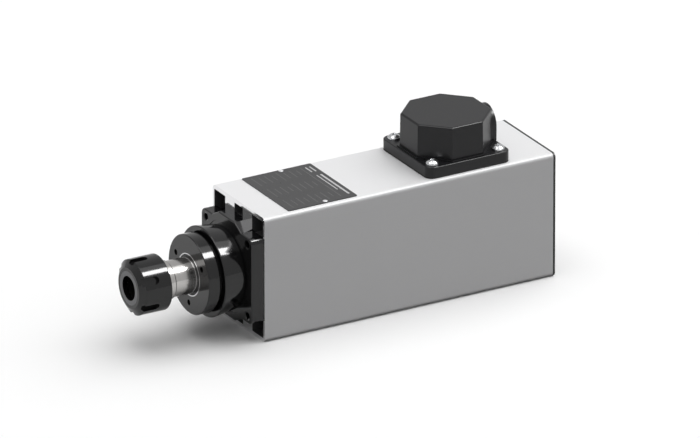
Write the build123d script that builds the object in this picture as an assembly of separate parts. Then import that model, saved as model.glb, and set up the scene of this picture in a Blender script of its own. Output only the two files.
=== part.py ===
from build123d import *

import math
import os

# Fan-cooled high-speed spindle motor with a square aluminium case, a collet nut nose and a terminal box.
# Millimetres. The spindle axis is X, with +X towards the tool and +Z up.
# The origin lies on the spindle axis in the front face of the front shield, where a machine bolts on.

# Case: an extruded aluminium tube with a stator bore, two ribs above and two below, and air channels between
case_width = 62.5
case_height = 80.5
case_length = 200.0
case_edge_radius = 2.8
roof_wall = 2.5
side_wall = 1.8
bore_side_wall = 3.25
bore_ring_wall = 2.6
middle_channel_width = 10.0
rib_width = 11.2
channel_corner_radius = 0.6
fan_chamber_length = 38.5
foot_hole_spacing_x = 100.0
foot_hole_radius = 2.5
foot_hole_end_wall = 0.65

# Front shield: a cast block that closes the bore, with a flared bearing nose
shield_block_length = 8.5
shield_side_margin = 0.9
shield_hump_height = 64.0
hump_top_width = 19.0
hump_foot_width = 35.0
shield_corner_radius = 4.0
shield_edge_radius = 0.8
shield_spigot_length = 10.0
shield_shoulder_radius = 19.0
nose_length = 16.5
nose_wall = 2.5
nose_flare = 2.2
nose_rim_rounding = 0.6
seat_relief_margin = 0.2
seat_relief_depth = 0.6
mount_hole_edge_y = 5.35
mount_hole_edge_z = 4.65
mount_hole_radius = 2.1
mount_hole_depth = 7.0
mount_hole_mouth_radius = 3.0
mount_hole_mouth_depth = 0.3
tie_boss_radius = 2.8
tie_boss_length = 8.0
tie_boss_gap = 0.6

# Bearings: an angular pair in the nose and one deep-groove bearing in the rear shield
front_bearing_bore_radius = 12.5
front_bearing_outer_radius = 23.5
front_bearing_width = 12.0
front_ball_radius = 3.1
front_ball_count = 12
front_spacer_width = 1.0
cap_thread_length = 5.5
rear_bearing_bore_radius = 8.5
rear_bearing_outer_radius = 20.0
rear_bearing_width = 12.0
rear_ball_radius = 3.2
rear_ball_count = 8
ball_clearance = 0.25
ring_land_share = 0.30
cage_width_share = 1.15
cage_wall_share = 0.28
spacer_inset = 0.5

# Bearing cap: a threaded disc in front of the nose, turned with a three-pin spanner
cap_rim_height = 1.3
cap_disc_length = 7.9
cap_neck_length = 1.5
cap_neck_depth = 2.0
cap_rounding = 0.5
cap_pin_circle_radius = 18.0
cap_pin_hole_radius = 1.8
cap_pin_hole_depth = 5.0
cap_pin_count = 3
cap_pin_turn = 30.0
cap_relief_height = 4.5
labyrinth_wall = 1.0
labyrinth_gap = 0.4
labyrinth_flange_height = 2.6
labyrinth_flange_length = 2.5
labyrinth_cone_length = 2.0
labyrinth_proud = 0.2

# Spindle shaft
nose_step = 1.25
collar_step = 0.75
shaft_collar_length = 6.0
shaft_neck_length = 14.6
collar_groove_width = 0.6
collar_groove_depth = 0.5
collet_wall = 1.45
nut_thread_chamfer = 0.8
shaft_front_gap = 0.2
nut_relief_width = 1.5
nut_relief_depth = 0.75
shaft_shoulder_radius = 15.0
shaft_shoulder_length = 4.0
shaft_front_radius = 13.0
rotor_seat_radius = 10.0
rear_seat_length = 14.5
fan_seat_radius = 7.0
shaft_end_gap = 5.0
shaft_end_chamfer = 0.5
collet_mouth_radius = 10.5
collet_taper_angle = 8.0
collet_taper_depth = 31.0
drawbar_bore_radius = 6.0
drawbar_bore_depth = 12.0
drill_point_share = 0.6

# Collet nut
nut_radius = 17.3
nut_length = 20.5
nut_bevel_length = 2.8
nut_face_radius = 12.6
nut_opening_radius = 7.6
nut_lip_length = 1.8
nut_rear_rounding = 0.7
nut_front_rounding = 0.4
nut_slot_count = 6
nut_slot_width = 5.0
nut_slot_depth = 2.3
nut_slot_length = 12.5
nut_thread_clearance = 0.1
clamp_ring_thickness = 2.0
clamp_ring_wall = 3.9
clamp_ring_gap = 0.25
clamp_ring_bore_margin = 0.2
clamp_ring_cone = 1.2

# Stator and rotor
stator_gap_to_shield = 26.5
winding_end_gap = 9.5
rotor_share = 0.32
air_gap = 0.5
stator_slot_count = 18
stator_yoke = 4.5
tooth_tip_height = 1.3
slot_width = 2.8
slot_mouth_width = 1.2
slot_mouth_overlap = 0.2
winding_overhang = 16.0
winding_shoulder_share = 0.7
winding_crown_share = 0.3
winding_foot_inset = 1.0
winding_clearance = 0.15
winding_bore_step = 0.2
winding_case_gap = 2.0
rotor_end_ring_length = 5.0
rotor_end_ring_gap = 1.3
rotor_end_ring_inset = 0.3
press_gap = 0.04

# Rear shield, tie rods and stand-offs
rear_shield_thickness = 10.0
rear_shield_side_gap = 0.2
rear_shield_rod_margin = 4.5
rear_shield_corner_radius = 3.0
rear_shield_spigot_length = 10.0
rear_shoulder_thickness = 3.0
rear_shoulder_radius = 12.5
preload_gap = 2.0
washer_thickness = 0.5
washer_inner_margin = 2.0
washer_outer_margin = 0.6
washer_waves = 3
washer_steps = 24
tie_rod_radius = 2.0
tie_rod_grip = 6.5
standoff_across_flats = 6.0
standoff_grip = 6.0
fit_clearance = 0.05
screw_clearance = 0.2
screw_end_gap = 0.4
cut_margin = 1.0

# Fan
fan_tip_gap = 2.95
fan_start_gap = 3.0
fan_back_thickness = 1.6
fan_hub_radius = 10.5
fan_hub_length = 15.0
fan_blade_height = 13.0
fan_blade_tip_height = 9.0
fan_blade_thickness = 1.6
fan_blade_count = 9
fan_blade_sweep = 38.0
fan_blade_bow_share = 0.38
fan_blade_root_depth = 1.0
fan_tip_inset = 0.5
fan_key_width = 3.0
fan_key_length = 9.0
clip_thickness = 1.0
clip_wall = 2.0
clip_groove_depth = 0.4

# Rear cover
rear_cover_thickness = 1.5
grille_inset = 1.5
grille_ring_pitch = 5.2
grille_slot_width = 2.8
grille_ring_count = 3
grille_slots_per_ring = 6
grille_bridge_width = 3.2
grille_turn = 30.0
cover_screw_head_radius = 3.0
cover_screw_head_height = 1.8
cover_screw_radius = 1.5
cover_screw_length = 5.0
screw_edge_share = 0.45

# Terminal box on top of the case
box_rear_margin = 27.8
box_side_margin = 2.4
box_plate_corner_radius = 5.0
box_plate_height = 6.3
box_plate_rounding = 0.6
box_gasket_thickness = 1.0
box_gasket_width = 7.0
box_wall = 2.2
box_dome_inset = 2.85
box_dome_height = 21.5
box_dome_draft = 1.0
box_dome_corner_rounding = 1.0
box_dome_rounding = 1.2
box_lip_height = 0.8
box_lip_width = 1.5
box_screw_inset = 6.0
box_screw_radius = 2.0
box_screw_head_radius = 4.0
box_screw_head_height = 3.2
box_boss_radius = 4.2
box_screw_tip = 0.6
entry_boss_radius = 11.0
entry_hole_radius = 7.4
entry_axis_height = 9.3
lead_hole_radius = 5.0
lead_wire_radius = 0.9
lead_count = 3
lead_spacing = 2.7
lead_bend_radius = 3.0
lead_end_gap = 0.3
terminal_block_width = 22.0
terminal_block_height = 7.0
terminal_barrier_height = 5.0
terminal_barrier_thickness = 1.5
stud_radius = 1.6
stud_height = 7.0
stud_depth = 3.0
stud_row_spacing = 12.0
stud_pitch = 9.5
stud_nut_across_flats = 6.0
stud_nut_height = 2.4

# Nameplate
plate_length = 47.4
plate_side_margin = 2.75
plate_thickness = 0.5
plate_corner_radius = 1.0
plate_front_margin = 18.2
rivet_radius = 1.5
rivet_head_height = 0.7
rivet_edge_distance = 1.9
rivet_offset = 2.4
rivet_shank_radius = 0.8

# Stations along the axis, worked out from the sizes above
case_front = -shield_block_length
case_rear = case_front - case_length
chamber_front = case_rear + fan_chamber_length
nose_front = nose_length
cap_disc_rear = nose_front + cap_neck_length
cap_front = cap_disc_rear + cap_disc_length
front_pair_front = nose_front - cap_thread_length
front_pair_middle = front_pair_front - front_bearing_width
rear_of_pair_front = front_pair_middle - front_spacer_width
front_pair_rear = rear_of_pair_front - front_bearing_width
collar_rear = cap_front + shaft_neck_length
nut_rear = collar_rear + shaft_collar_length
nut_front = nut_rear + nut_length
clamp_chamber_rear = nut_front - nut_lip_length - clamp_ring_thickness - 2 * clamp_ring_gap
thread_front = clamp_chamber_rear - shaft_front_gap
stator_front = front_pair_rear - shaft_shoulder_length - stator_gap_to_shield
stator_rear = chamber_front + rear_shield_spigot_length + winding_end_gap + winding_overhang
rotor_front = stator_front + rotor_end_ring_length
rotor_rear = stator_rear - rotor_end_ring_length
rear_shield_rear = chamber_front - rear_shield_thickness
rear_bearing_rear = rear_shield_rear + rear_shoulder_thickness + preload_gap
rear_bearing_front = rear_bearing_rear + rear_bearing_width
shaft_rear = case_rear + shaft_end_gap
fan_front = rear_shield_rear - fan_start_gap
fan_rear = fan_front - fan_hub_length
rear_cover_rear = case_rear - rear_cover_thickness

# Radii, heights and widths, worked out from the sizes above
roof = case_height / 2
stator_bore_radius = case_width / 2 - bore_side_wall
bore_ring_radius = stator_bore_radius + bore_ring_wall
corner_channel_inner = middle_channel_width / 2 + rib_width
corner_channel_outer = case_width / 2 - side_wall
channel_top = case_height / 2 - roof_wall
rib_centre = middle_channel_width / 2 + rib_width / 2
foot_hole_depth = roof - bore_ring_radius - foot_hole_end_wall
shield_width = case_width - 2 * shield_side_margin
rod_circle_radius = bore_ring_radius + tie_boss_gap + tie_boss_radius
rod_y = shield_width / 2 - mount_hole_edge_y
rod_z = math.sqrt(rod_circle_radius**2 - rod_y**2)
shield_height = 2 * (rod_z + mount_hole_edge_z)
nose_root_radius = front_bearing_outer_radius + nose_wall
nose_rim_radius = nose_root_radius + nose_flare
cap_radius = front_bearing_outer_radius + cap_rim_height
cap_neck_radius = cap_radius - cap_neck_depth
shaft_nose_radius = front_bearing_bore_radius - nose_step
shaft_collar_radius = shaft_nose_radius + collar_step
nut_thread_radius = collet_mouth_radius + collet_wall
rotor_radius = rotor_seat_radius + rotor_share * (stator_bore_radius - rotor_seat_radius - air_gap)
stator_inner_radius = rotor_radius + air_gap
slot_root_radius = stator_bore_radius - stator_yoke
slot_tip_radius = stator_inner_radius + tooth_tip_height
winding_inner_radius = slot_tip_radius + winding_bore_step
winding_outer_radius = stator_bore_radius - winding_case_gap
rear_shield_width = 2 * (corner_channel_outer - rear_shield_side_gap)
rear_shield_height = 2 * (rod_z + rear_shield_rod_margin)
fan_radius = corner_channel_outer - fan_tip_gap
grille_outer_radius = fan_radius - grille_inset
box_plate_size = case_width - 2 * box_side_margin
box_dome_size = box_plate_size - 2 * box_dome_inset
box_screw_spacing = box_plate_size - 2 * box_screw_inset
box_centre_x = case_rear + box_rear_margin + box_plate_size / 2
box_floor = roof + box_gasket_thickness
box_plate_top = box_floor + box_plate_height
box_top = box_plate_top + box_dome_height
box_rear_face = box_centre_x - box_plate_size / 2
entry_height = box_plate_top + entry_axis_height
lead_centre_x = stator_rear - winding_overhang / 2
block_centre_x = lead_centre_x - lead_hole_radius - terminal_block_width / 2
block_top = roof + terminal_block_height
plate_centre_x = case_front - plate_front_margin - plate_length / 2
plate_width = case_width - 2 * plate_side_margin
rivet_x = plate_centre_x - rivet_offset


def turned(*corners):
    """Solid turned about the spindle axis from (x, radius) corners in order round the section."""
    return revolve(make_face(Polyline(*corners, close=True)), Axis.X)


def ring(x_low, x_high, inner, outer):
    """Plain ring about the spindle axis."""
    return turned((x_low, inner), (x_high, inner), (x_high, outer), (x_low, outer))


def along_x(sketch, x_low, x_high):
    """Sketch in the YZ plane carried from x_low to x_high."""
    return Pos(x_low, 0, 0) * extrude(Plane.YZ * sketch, x_high - x_low)


def upward(sketch, z_low, z_high):
    """Sketch in the XY plane carried from z_low to z_high."""
    return Pos(0, 0, z_low) * extrude(sketch, z_high - z_low)


def rod_x(x_low, x_high, radius, y=0.0, z=0.0):
    """Round bar along X."""
    return along_x(Pos(y, z) * Circle(radius), x_low, x_high)


def rounded_rim(solid, x, radius, rounding):
    """Turned solid with its round edge at x and radius rounded over."""
    rim = solid.edges().filter_by(GeomType.CIRCLE).filter_by_position(Axis.X, x - 0.01, x + 0.01)
    return fillet([edge for edge in rim if abs(edge.radius - radius) < 0.01], rounding)


def group(shapes):
    """Separate solids kept together in one node."""
    solids = []
    for shape in shapes:
        solids.extend(shape.solids())
    return Compound(children=solids)


tie_places = [(side_y * rod_y, side_z * rod_z) for side_y in (1, -1) for side_z in (1, -1)]


def case_extrusion():
    """Case with its bore, ribs and six air channels, milled out at the rear for the fan."""
    profile = RectangleRounded(case_width, case_height, case_edge_radius)
    middle = Rectangle(middle_channel_width, 2 * channel_top)
    corner_width = corner_channel_outer - corner_channel_inner
    corner_centre = (corner_channel_outer + corner_channel_inner) / 2
    channels = middle
    for side in (1, -1):
        channels += Pos(side * corner_centre, 0) * Rectangle(corner_width, 2 * channel_top)
    channels -= Circle(bore_ring_radius)
    channels = fillet(channels.vertices(), channel_corner_radius)
    body = along_x(profile - channels - Circle(stator_bore_radius), case_rear, case_front)
    chamber = Rectangle(2 * corner_channel_outer, 2 * channel_top)
    chamber = fillet(chamber.vertices(), channel_corner_radius)
    body -= along_x(chamber, case_rear, chamber_front)
    foot_centre = (case_front + case_rear) / 2
    for x in (foot_centre - foot_hole_spacing_x / 2, foot_centre + foot_hole_spacing_x / 2):
        for y in (-rib_centre, rib_centre):
            body -= upward(Pos(x, y) * Circle(foot_hole_radius), -roof, -roof + foot_hole_depth)
    for x, y in box_screw_places():
        body -= upward(Pos(x, y) * Circle(box_screw_radius + fit_clearance), channel_top, roof)
    body -= upward(Pos(lead_centre_x, 0) * Circle(lead_hole_radius), 0, roof)
    for y in rivet_places():
        rivet_hole = Pos(rivet_x, y) * Circle(rivet_shank_radius + fit_clearance)
        body -= upward(rivet_hole, channel_top, roof)
    return body


def shield_outline(width, height, hump, hump_top, hump_foot, corner_radius):
    """Outline of a shield: a rounded rectangle with a low flat-topped hump above and below."""
    w, h = width / 2, height / 2
    upper = [(w, h), (hump_foot / 2, h), (hump_top / 2, hump / 2), (-hump_top / 2, hump / 2)]
    upper += [(-hump_foot / 2, h), (-w, h)]
    lower = [(-y, -z) for y, z in upper]
    outline = Polygon(*upper, *lower, align=None)
    corners = [v for v in outline.vertices() if abs(abs(v.X) - w) < 0.01]
    return fillet(corners, corner_radius)


def front_shield():
    """Shield block with the flared bearing nose in front and the centring spigot behind."""
    outline = shield_outline(
        shield_width,
        shield_height,
        shield_hump_height,
        hump_top_width,
        hump_foot_width,
        shield_corner_radius,
    )
    block = along_x(outline, case_front, 0)
    block = fillet(block.faces().sort_by(Axis.X)[-1].edges(), shield_edge_radius)
    relief = ring(-seat_relief_depth, 0, nose_root_radius, nose_rim_radius + seat_relief_margin)
    block -= relief
    nose = turned((-shield_edge_radius, 0), (nose_front, 0), (nose_front, nose_rim_radius), (0, nose_root_radius))
    nose = rounded_rim(nose, nose_front, nose_rim_radius, nose_rim_rounding)
    spigot = rod_x(case_front - shield_spigot_length, case_front, stator_bore_radius - press_gap)
    body = block + nose + spigot
    for y, z in tie_places:
        body += rod_x(case_front - tie_boss_length, case_front, tie_boss_radius, y, z)
    body -= rod_x(front_pair_rear, nose_front, front_bearing_outer_radius + press_gap)
    body -= rod_x(case_front - shield_spigot_length, front_pair_rear, shield_shoulder_radius)
    for y, z in tie_places:
        body -= rod_x(-mount_hole_depth, 0, mount_hole_radius, y, z)
        mouth = Cone(mount_hole_radius, mount_hole_mouth_radius, mount_hole_mouth_depth)
        body -= Pos(-mount_hole_mouth_depth / 2, y, z) * Rot(0, 90, 0) * mouth
        rod_end = case_front - tie_boss_length
        body -= rod_x(rod_end, rod_end + tie_rod_grip, tie_rod_radius + fit_clearance, y, z)
    return body


def bearing_cap():
    """Threaded cap with its disc, neck groove, shaft bore and three pin-spanner holes."""
    bore = shaft_nose_radius + labyrinth_wall + labyrinth_gap
    relief = front_bearing_bore_radius + cap_relief_height
    thread = front_bearing_outer_radius - fit_clearance
    body = turned(
        (front_pair_front, relief),
        (nose_front, relief),
        (cap_disc_rear, bore),
        (cap_front, bore),
        (cap_front, cap_radius),
        (cap_disc_rear, cap_radius),
        (cap_disc_rear, cap_neck_radius),
        (nose_front, cap_neck_radius),
        (nose_front, thread),
        (front_pair_front, thread),
    )
    body = rounded_rim(body, cap_front, cap_radius, cap_rounding)
    body = rounded_rim(body, cap_disc_rear, cap_radius, cap_rounding)
    for k in range(cap_pin_count):
        angle = cap_pin_turn + 360.0 * k / cap_pin_count
        hole = Pos(0, cap_pin_circle_radius, 0) * rod_x(
            cap_front - cap_pin_hole_depth, cap_front, cap_pin_hole_radius
        )
        body -= Rot(angle, 0, 0) * hole
    return body


def labyrinth_ring():
    """Steel ring on the shaft that runs inside the cap's bore and holds the inner rings."""
    rear = front_pair_front
    front = cap_front + labyrinth_proud
    inner = shaft_nose_radius + fit_clearance
    outer = shaft_nose_radius + labyrinth_wall
    flange = front_bearing_bore_radius + labyrinth_flange_height
    flange_front = rear + labyrinth_flange_length
    return turned(
        (rear, inner),
        (front, inner),
        (front, outer),
        (flange_front + labyrinth_cone_length, outer),
        (flange_front, flange),
        (rear, flange),
    )


def bearing(x_rear, bore, outer, width, ball_radius, count, offset_angle):
    """Parts of one ball bearing: outer ring, inner ring, balls and cage."""
    pitch = (bore + outer) / 2
    x_mid = x_rear + width / 2
    land = (outer - bore) * ring_land_share
    groove = Pos(x_mid, 0, 0) * Rot(0, 90, 0) * Torus(pitch, ball_radius + ball_clearance)
    outer_ring = ring(x_rear, x_rear + width, outer - land, outer - press_gap / 2) - groove
    inner_ring = ring(x_rear, x_rear + width, bore + press_gap / 2, bore + land) - groove
    balls = []
    cage_half = ball_radius * cage_width_share
    cage_wall = ball_radius * cage_wall_share
    cage = ring(x_mid - cage_half, x_mid + cage_half, pitch - cage_wall, pitch + cage_wall)
    for k in range(count):
        turn = Rot(offset_angle + 360.0 * k / count, 0, 0)
        balls.append(turn * Pos(x_mid, pitch, 0) * Sphere(ball_radius))
        pocket = Pos(x_mid, pitch, 0) * Rot(90, 0, 0) * Cylinder(ball_radius + fit_clearance, 4 * cage_wall)
        cage -= turn * pocket
    return outer_ring, inner_ring, balls, cage


def spindle_shaft():
    """Stepped shaft with the collet taper in its nose and a clip groove behind each seat."""
    groove_front = collar_rear + collar_groove_width
    clip_front = rear_bearing_rear
    clip_rear = clip_front - clip_thickness
    body = turned(
        (thread_front, 0),
        (thread_front, nut_thread_radius - nut_thread_chamfer),
        (thread_front - nut_thread_chamfer, nut_thread_radius),
        (nut_rear + nut_relief_width, nut_thread_radius),
        (nut_rear + nut_relief_width, nut_thread_radius - nut_relief_depth),
        (nut_rear, nut_thread_radius - nut_relief_depth),
        (nut_rear, shaft_collar_radius),
        (groove_front, shaft_collar_radius),
        (groove_front, shaft_nose_radius - collar_groove_depth),
        (collar_rear, shaft_nose_radius - collar_groove_depth),
        (collar_rear, shaft_nose_radius),
        (front_pair_front, shaft_nose_radius),
        (front_pair_front, front_bearing_bore_radius),
        (front_pair_rear, front_bearing_bore_radius),
        (front_pair_rear, shaft_shoulder_radius),
        (front_pair_rear - shaft_shoulder_length, shaft_shoulder_radius),
        (front_pair_rear - shaft_shoulder_length, shaft_front_radius),
        (rotor_front, shaft_front_radius),
        (rotor_front, rotor_seat_radius),
        (rear_bearing_front, rotor_seat_radius),
        (rear_bearing_front, rear_bearing_bore_radius),
        (clip_front, rear_bearing_bore_radius),
        (clip_front, rear_bearing_bore_radius - clip_groove_depth),
        (clip_rear, rear_bearing_bore_radius - clip_groove_depth),
        (clip_rear, rear_bearing_bore_radius),
        (rear_bearing_front - rear_seat_length, rear_bearing_bore_radius),
        (rear_bearing_front - rear_seat_length, fan_seat_radius),
        (shaft_rear + shaft_end_chamfer, fan_seat_radius),
        (shaft_rear, fan_seat_radius - shaft_end_chamfer),
        (shaft_rear, 0),
    )
    taper_end_radius = collet_mouth_radius - collet_taper_depth * math.tan(math.radians(collet_taper_angle))
    taper_end = thread_front - collet_taper_depth
    bore_end = taper_end - drawbar_bore_depth
    body -= turned(
        (thread_front, 0),
        (thread_front, collet_mouth_radius),
        (taper_end, taper_end_radius),
        (taper_end, drawbar_bore_radius),
        (bore_end, drawbar_bore_radius),
        (bore_end - drawbar_bore_radius * drill_point_share, 0),
    )
    groove_floor = fan_seat_radius - clip_groove_depth
    body -= ring(fan_rear - clip_thickness, fan_rear, groove_floor, fan_seat_radius + cut_margin)
    body -= fan_key_shape(fit_clearance)
    return body


def fan_key_shape(clearance):
    """Parallel key under the fan's hub, half in the shaft and half in the hub."""
    width = fan_key_width + 2 * clearance
    centre = fan_front - fan_hub_length / 2
    key = Rectangle(fan_key_length + 2 * clearance, width)
    low = fan_seat_radius - fan_key_width / 2 - clearance
    high = fan_seat_radius + fan_key_width / 2 + clearance
    return upward(Pos(centre, 0) * key, low, high)


def snap_ring(x_high, seat_radius):
    """External retaining ring with its open gap at the bottom."""
    inner = seat_radius - clip_groove_depth + fit_clearance
    body = ring(x_high - clip_thickness + fit_clearance, x_high - fit_clearance, inner, seat_radius + clip_wall)
    gap = Pos(x_high - clip_thickness / 2, 0, -seat_radius - clip_wall / 2) * Box(
        2 * clip_thickness, clip_wall, 2 * clip_wall + seat_radius
    )
    return body - gap


def collet_nut():
    """Collet nut with a bevelled face, six wrench slots, a smooth bore in place of its thread and a lip."""
    chamber_front_x = nut_front - nut_lip_length
    thread = nut_thread_radius + nut_thread_clearance
    body = turned(
        (nut_rear, thread),
        (nut_rear, nut_radius),
        (nut_front - nut_bevel_length, nut_radius),
        (nut_front, nut_face_radius),
        (nut_front, nut_opening_radius),
        (chamber_front_x, nut_opening_radius),
        (chamber_front_x, nut_opening_radius + clamp_ring_wall + clamp_ring_gap),
        (clamp_chamber_rear, nut_opening_radius + clamp_ring_wall + clamp_ring_gap),
        (clamp_chamber_rear, thread),
    )
    body = rounded_rim(body, nut_rear, nut_radius, nut_rear_rounding)
    body = rounded_rim(body, nut_front - nut_bevel_length, nut_radius, nut_front_rounding)
    body = rounded_rim(body, nut_front, nut_face_radius, nut_front_rounding)
    slot_end = nut_front - nut_slot_length + nut_slot_width / 2
    slot_reach = nut_front + cut_margin - slot_end
    plan = Pos(slot_end + slot_reach / 2, 0) * Rectangle(slot_reach, nut_slot_width)
    plan += Pos(slot_end, 0) * Circle(nut_slot_width / 2)
    cutter = upward(plan, nut_radius - nut_slot_depth, nut_radius + cut_margin)
    for k in range(nut_slot_count):
        body -= Rot(360.0 * k / nut_slot_count, 0, 0) * cutter
    return body


def nut_clamp_ring():
    """Ring inside the nut that pushes on the collet and pulls it out again."""
    front = nut_front - nut_lip_length - clamp_ring_gap
    rear = front - clamp_ring_thickness
    inner = nut_opening_radius + clamp_ring_bore_margin
    outer = nut_opening_radius + clamp_ring_wall
    return turned((rear, inner + clamp_ring_cone), (front, inner), (front, outer), (rear, outer))


def stator_slots(extra, x_low, x_high):
    """Slot shapes round the bore, grown by extra on each side."""
    length = slot_root_radius - slot_tip_radius + 2 * extra
    slot = Pos((slot_root_radius + slot_tip_radius) / 2, 0) * Rectangle(length, slot_width + 2 * extra)
    slots = []
    for k in range(stator_slot_count):
        slots.append(along_x(Rot(0, 0, 360.0 * k / stator_slot_count) * slot, x_low, x_high))
    return slots


def stator_core():
    """Laminated core with its winding slots and their narrow mouths."""
    section = Circle(stator_bore_radius - press_gap) - Circle(stator_inner_radius)
    mouth_length = slot_tip_radius - stator_inner_radius + cut_margin
    mouth_centre = slot_tip_radius - mouth_length / 2 + slot_mouth_overlap
    slot_centre = (slot_root_radius + slot_tip_radius) / 2
    slot = Pos(slot_centre, 0) * Rectangle(slot_root_radius - slot_tip_radius, slot_width)
    slot += Pos(mouth_centre, 0) * Rectangle(mouth_length, slot_mouth_width)
    for k in range(stator_slot_count):
        section -= Rot(0, 0, 360.0 * k / stator_slot_count) * slot
    return along_x(section, stator_rear, stator_front)


def winding_end(x_core, direction):
    """End turns: a crowned ring that starts at the core's face."""
    tip = x_core + direction * winding_overhang
    start = x_core + direction * winding_clearance
    shoulder = x_core + direction * winding_overhang * winding_shoulder_share
    crown = (winding_outer_radius - winding_inner_radius) * winding_crown_share
    return turned(
        (start, winding_inner_radius),
        (shoulder, winding_inner_radius),
        (tip, winding_inner_radius + crown),
        (tip, winding_outer_radius - crown),
        (shoulder, winding_outer_radius),
        (start, winding_outer_radius - winding_foot_inset),
    )


def stator_winding():
    """Copper winding: bars in the slots joined by the end turns."""
    body = winding_end(stator_front, 1) + winding_end(stator_rear, -1)
    for bar in stator_slots(-winding_clearance, stator_rear - cut_margin, stator_front + cut_margin):
        body += bar
    return body


def rotor_cage():
    """Cast aluminium end rings of the rotor."""
    rings = []
    outer = rotor_radius - rotor_end_ring_inset
    for low, high in ((stator_front, rotor_front), (rotor_rear, stator_rear)):
        rings.append(ring(low, high, rotor_seat_radius + rotor_end_ring_gap, outer))
    return group(rings)


def rear_shield():
    """Rear shield: a block in the fan chamber with a spigot in the bore and the bearing seat."""
    outline = RectangleRounded(rear_shield_width, rear_shield_height, rear_shield_corner_radius)
    spigot_front = chamber_front + rear_shield_spigot_length
    body = along_x(outline, rear_shield_rear, chamber_front)
    body += rod_x(chamber_front, spigot_front, stator_bore_radius - press_gap)
    body -= rod_x(rear_bearing_rear - preload_gap, spigot_front, rear_bearing_outer_radius + fit_clearance)
    body -= rod_x(rear_shield_rear, spigot_front, rear_shoulder_radius)
    for y, z in tie_places:
        body -= rod_x(rear_shield_rear, chamber_front, tie_rod_radius + screw_clearance, y, z)
    return body


def preload_washer():
    """Wave washer that pushes the rear bearing's outer ring forward with a few low waves."""
    inner = rear_shoulder_radius + washer_inner_margin
    outer = rear_bearing_outer_radius - washer_outer_margin
    half = washer_thickness / 2
    middle = rear_bearing_rear - preload_gap / 2
    rise = preload_gap / 2 - half - fit_clearance
    sections = []
    for k in range(washer_steps + 1):
        angle = 360.0 * k / washer_steps
        x = middle + rise * math.cos(math.radians(washer_waves * angle))
        corners = [(x - half, inner), (x + half, inner), (x + half, outer), (x - half, outer)]
        sections.append(Rot(angle, 0, 0) * Polygon(*corners, align=None))
    washer = loft(sections[0:2], ruled=True)
    for low, high in zip(sections[1:-1], sections[2:]):
        washer += loft([low, high], ruled=True)
    return washer


def tie_rods():
    """Four rods that pull both shields against the case."""
    front = case_front - tie_boss_length + tie_rod_grip
    rear = rear_shield_rear - standoff_grip
    return group([rod_x(rear, front, tie_rod_radius, y, z) for y, z in tie_places])


def rear_standoffs():
    """Hexagon stand-offs that clamp the rear shield and carry the rear cover."""
    hexagon = RegularPolygon(standoff_across_flats / 2, 6, major_radius=False)
    parts = []
    for y, z in tie_places:
        body = along_x(Pos(y, z) * hexagon, case_rear, rear_shield_rear)
        rod_end = rear_shield_rear - standoff_grip - screw_end_gap
        body -= rod_x(rod_end, rear_shield_rear, tie_rod_radius + fit_clearance, y, z)
        screw_end = case_rear + cover_screw_length + screw_end_gap
        body -= rod_x(case_rear, screw_end, cover_screw_radius + fit_clearance, y, z)
        parts.append(body)
    return group(parts)


def polar(radius, angle):
    """Point of the YZ plane at a radius and an angle in degrees."""
    return (radius * math.cos(math.radians(angle)), radius * math.sin(math.radians(angle)))


def fan_blade_section():
    """Section of one blade: two arcs a blade's thickness apart that sweep back from hub to rim."""
    start = fan_hub_radius - fan_blade_root_depth
    end = fan_radius - fan_tip_inset
    middle = (start + end) / 2
    half = fan_blade_thickness / 2
    sides = []
    for sign in (1, -1):
        inner = polar(start, math.degrees(sign * half / start))
        mid = polar(middle, fan_blade_sweep * fan_blade_bow_share + math.degrees(sign * half / middle))
        outer = polar(end, fan_blade_sweep + math.degrees(sign * half / end))
        sides.append((inner, mid, outer))
    lead, trail = sides
    edges = [ThreePointArc(*lead), Line(lead[2], trail[2]), ThreePointArc(*trail), Line(trail[0], lead[0])]
    return make_face(edges)


def fan_blade():
    """One blade, cut along the slanted line in which its height falls towards the rim."""
    back_rear = fan_front - fan_back_thickness
    slope = (fan_blade_height - fan_blade_tip_height) / (fan_radius - fan_hub_radius)
    low_radius = fan_hub_radius - 2 * fan_blade_root_depth
    high_radius = fan_radius + cut_margin
    low_x = back_rear - fan_blade_height + slope * (low_radius - fan_hub_radius)
    high_x = back_rear - fan_blade_height + slope * (high_radius - fan_hub_radius)
    above = turned((low_x, low_radius), (high_x, high_radius), (fan_rear, high_radius), (fan_rear, low_radius))
    return along_x(fan_blade_section(), fan_rear + fit_clearance, back_rear + fan_back_thickness / 2) - above


def cooling_fan():
    """Radial fan: keyed hub, backplate and backward-curved blades with a falling edge."""
    back_rear = fan_front - fan_back_thickness
    bore = fan_seat_radius + press_gap
    body = turned(
        (fan_front, bore),
        (fan_front, fan_radius),
        (back_rear, fan_radius),
        (back_rear, fan_hub_radius),
        (fan_rear, fan_hub_radius),
        (fan_rear, bore),
    )
    blade = fan_blade()
    for k in range(fan_blade_count):
        body += Rot(360.0 * k / fan_blade_count, 0, 0) * blade
    key_size = fan_key_width + 2 * fit_clearance
    keyway = Box(fan_hub_length + cut_margin, key_size, key_size)
    return body - Pos((fan_front + fan_rear) / 2, 0, fan_seat_radius) * keyway


def rear_cover():
    """Thin cover that closes the case's rear, with an air grille of arc slots."""
    section = RectangleRounded(case_width, case_height, case_edge_radius)
    for k in range(grille_ring_count):
        radius = grille_outer_radius - k * grille_ring_pitch
        span = 360.0 / grille_slots_per_ring - math.degrees(grille_bridge_width / radius)
        arc_ring = Circle(radius) - Circle(radius - grille_slot_width)
        wedge = Polygon((0, 0), polar(case_height, -span / 2), polar(case_height, span / 2), align=None)
        for j in range(grille_slots_per_ring):
            turn = Rot(0, 0, 360.0 * j / grille_slots_per_ring + grille_turn)
            section -= arc_ring & (turn * wedge)
    for y, z in tie_places:
        section -= Pos(y, z) * Circle(cover_screw_radius + fit_clearance)
    return along_x(section, rear_cover_rear, case_rear)


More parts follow.
